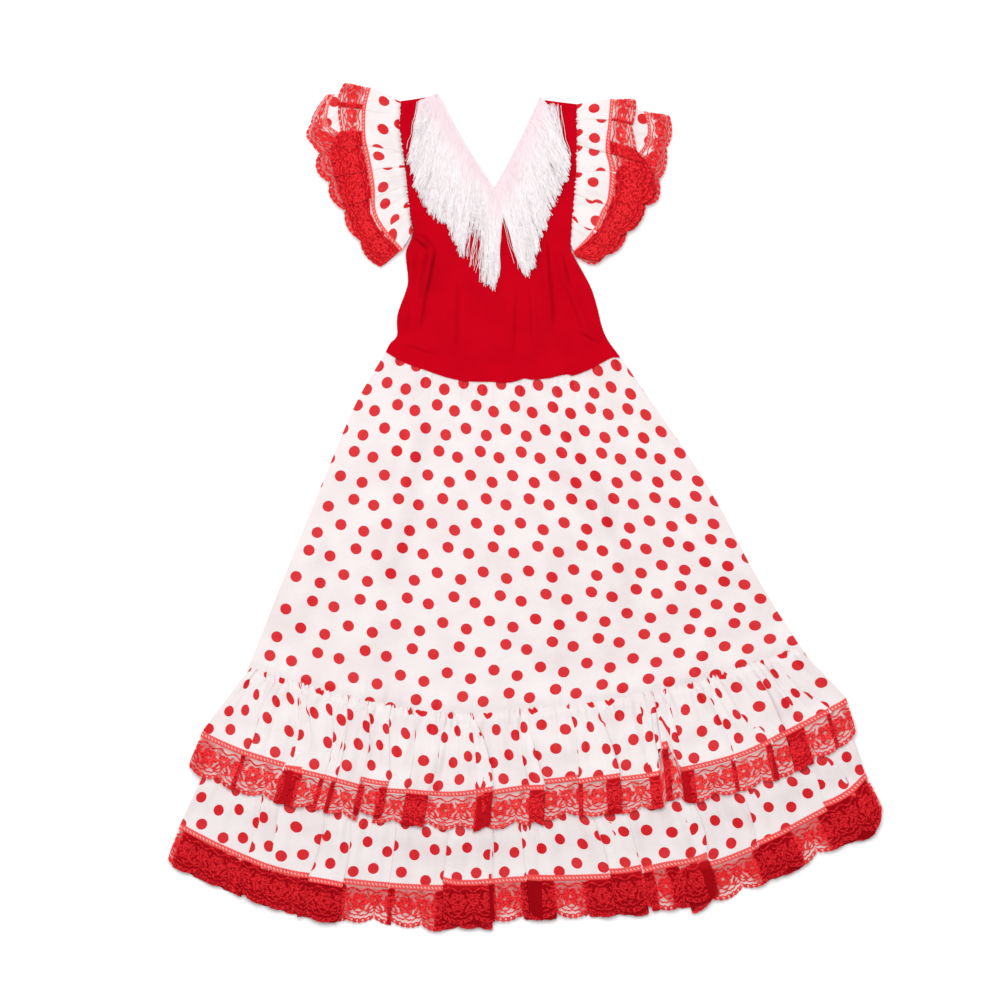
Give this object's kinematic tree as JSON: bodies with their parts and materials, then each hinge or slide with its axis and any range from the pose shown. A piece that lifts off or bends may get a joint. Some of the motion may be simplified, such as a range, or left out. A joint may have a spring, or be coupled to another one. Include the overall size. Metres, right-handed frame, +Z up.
{
  "type": "flamenco dress",
  "caption": "Girl's flamenco dress laid flat: red jersey V-neck bodice, dotted satin skirt with gathered hem ruffles, flutter sleeves, red lace edging and a white neck fringe.",
  "frame": {"origin": "on the surface the dress lies on, under the middle of its bounding box", "axes": "+X across the dress towards its left sleeve (the viewer's right), +Y from the hem to the neck, +Z up, away from the surface"},
  "size_m": [0.715, 0.8491, 0.0181],
  "materials": {
    "red_jersey": "matte stretch jersey, scarlet",
    "dotted_satin": "soft white satin with red dots about 11 mm across",
    "red_lace": "openwork flower lace with a scalloped edge, coral red",
    "white_fringe": "soft white thread fringe on a pale pink tape"
  },
  "bodies": {
    "root": {"bodice_front": "red_jersey", "bodice_back": "red_jersey", "skirt_front": "dotted_satin", "skirt_back": "dotted_satin", "upper_ruffle_front": "dotted_satin", "upper_lace_front": "red_lace", "upper_ruffle_back": "dotted_satin", "upper_lace_back": "red_lace", "lower_ruffle_front": "dotted_satin", "lower_lace_front": "red_lace", "lower_ruffle_back": "dotted_satin", "lower_lace_back": "red_lace", "left_sleeve_top_front": "dotted_satin", "left_sleeve_top_front_lace": "red_lace", "left_sleeve_top_back": "dotted_satin", "left_sleeve_top_back_lace": "red_lace", "left_sleeve_under_front": "dotted_satin", "left_sleeve_under_front_lace": "red_lace", "left_sleeve_under_back": "dotted_satin", "left_sleeve_under_back_lace": "red_lace", "right_sleeve_top_front": "dotted_satin", "right_sleeve_top_front_lace": "red_lace", "right_sleeve_top_back": "dotted_satin", "right_sleeve_top_back_lace": "red_lace", "right_sleeve_under_front": "dotted_satin", "right_sleeve_under_front_lace": "red_lace", "right_sleeve_under_back": "dotted_satin", "right_sleeve_under_back_lace": "red_lace", "neck_fringe": "white_fringe"}
  },
  "joints": []
}
